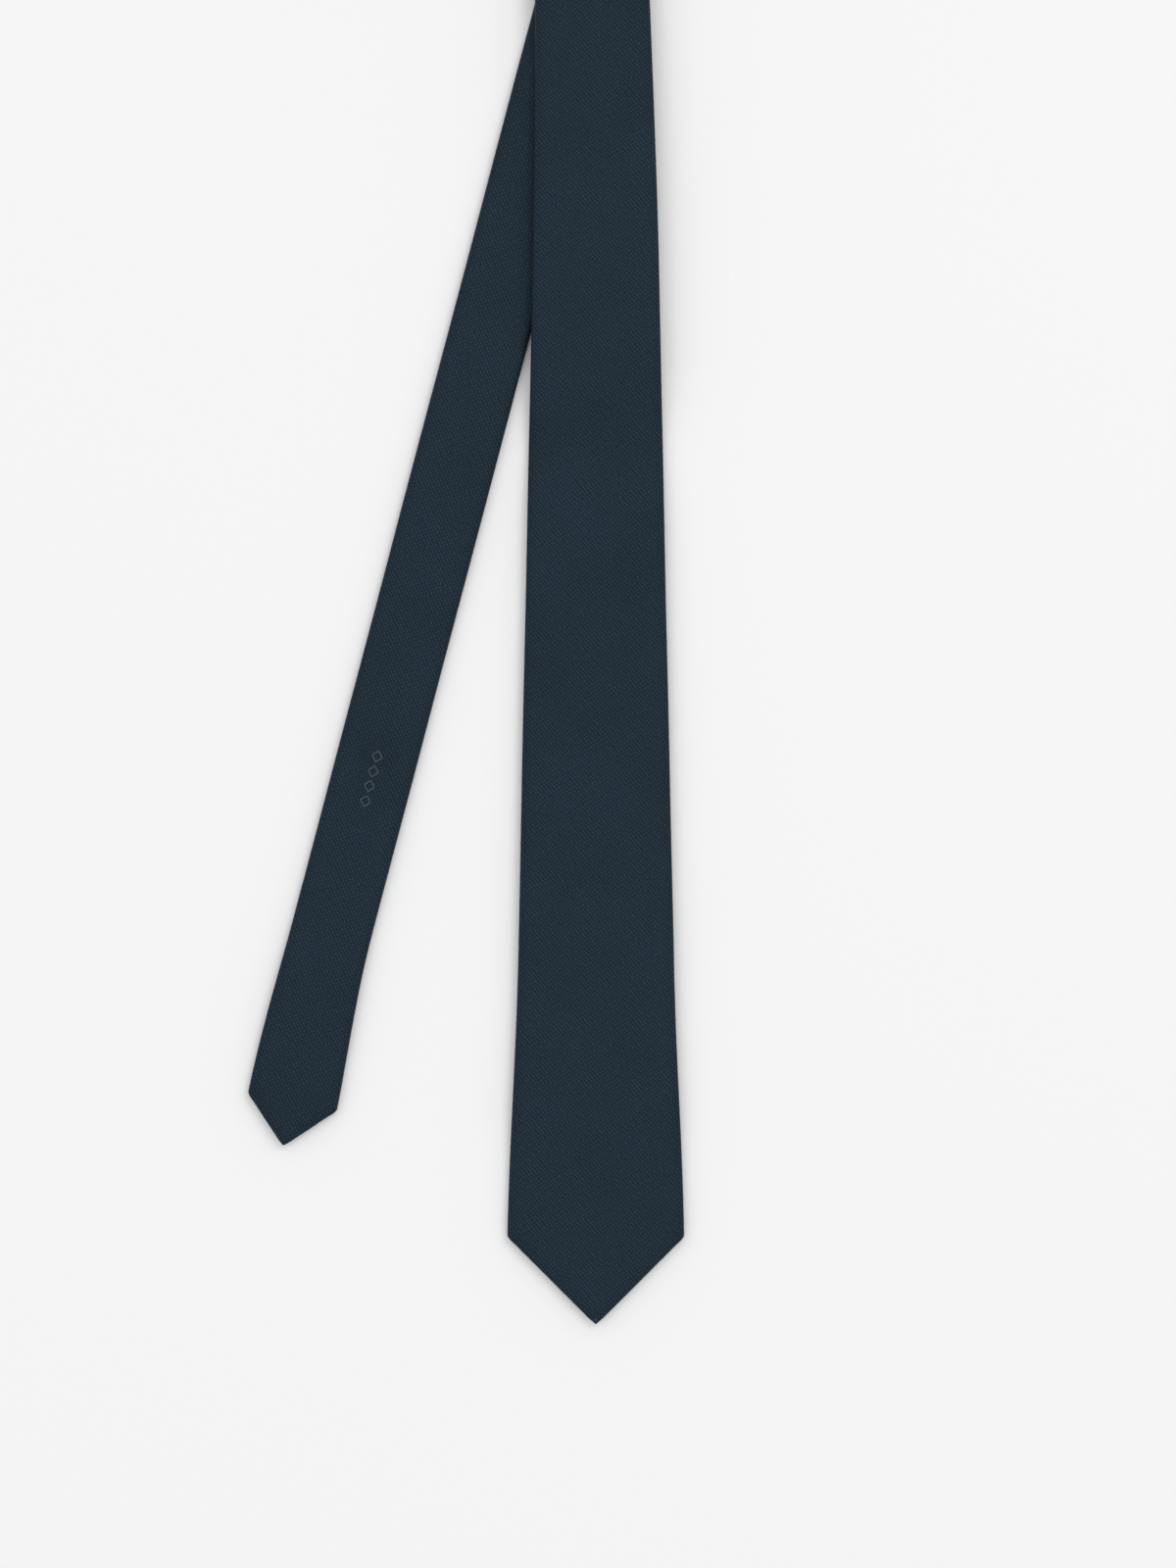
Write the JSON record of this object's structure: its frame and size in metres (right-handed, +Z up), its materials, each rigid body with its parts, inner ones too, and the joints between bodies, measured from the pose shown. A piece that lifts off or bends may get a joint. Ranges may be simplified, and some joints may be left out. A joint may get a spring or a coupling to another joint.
{
  "type": "necktie",
  "caption": "Dark necktie laid out in its worn shape: a pointed wide blade lies over a narrow tail, and the neck joins them as a loop standing on its edge.",
  "frame": {"origin": "middle of the tie's bounding box, on the table it lies on", "axes": "+Y from the tips towards the neck loop, +X to the right as seen from above, +Z up out of the front faces"},
  "size_m": [0.2002, 0.7322, 0.0397],
  "materials": {
    "figured_cloth": "fine bias rib in dark blue-grey silk, soft sheen",
    "interlining": "brushed wool, matte",
    "tipping_satin": "satin, dark",
    "thread": "twisted silk thread",
    "label": "blank woven label, satin ground",
    "care_tape": "blank satin tape",
    "motif_thread": "grey-green embroidery thread, lighter than the cloth"
  },
  "bodies": {
    "neck": {"neck_shell": "figured_cloth", "neck_interlining": "interlining", "neck_slip_stitch": "thread"},
    "front_upper": {"front_shell_upper": "figured_cloth", "front_interlining_upper": "interlining", "front_slip_stitch_upper": "thread"},
    "front_lower": {"front_shell_lower": "figured_cloth", "front_interlining_lower": "interlining", "front_slip_stitch_lower": "thread", "front_tipping": "tipping_satin", "front_bar_tack": "thread", "keeper_loop": "figured_cloth", "maker_label": "label", "care_label": "care_tape"},
    "tail_upper": {"tail_shell_upper": "figured_cloth", "tail_interlining_upper": "interlining", "tail_slip_stitch_upper": "thread"},
    "tail_lower": {"tail_shell_lower": "figured_cloth", "tail_interlining_lower": "interlining", "tail_slip_stitch_lower": "thread", "tail_tipping": "tipping_satin", "tail_bar_tack": "thread", "tail_motif": "motif_thread"}
  },
  "joints": [
    {"name": "front_swing", "type": "hinge", "parent": "neck", "child": "front_upper", "pos_m": [0.00345, 0.30611, 0.0195], "axis": [0, 0, 1], "range_deg": [0, 12]},
    {"name": "front_lift", "type": "hinge", "parent": "front_upper", "child": "front_lower", "pos_m": [0.03779, -0.02609, 0.0039], "axis": [-1, 0, 0], "range_deg": [0, 90]},
    {"name": "tail_swing", "type": "hinge", "parent": "neck", "child": "tail_upper", "pos_m": [0.09434, 0.29687, 0.016], "axis": [0, 0, -1], "range_deg": [0, 10]},
    {"name": "tail_lift", "type": "hinge", "parent": "tail_upper", "child": "tail_lower", "pos_m": [-0.02252, -0.04113, 0.0037], "axis": [-0.9668, 0.2554, 0], "range_deg": [0, 90]}
  ]
}
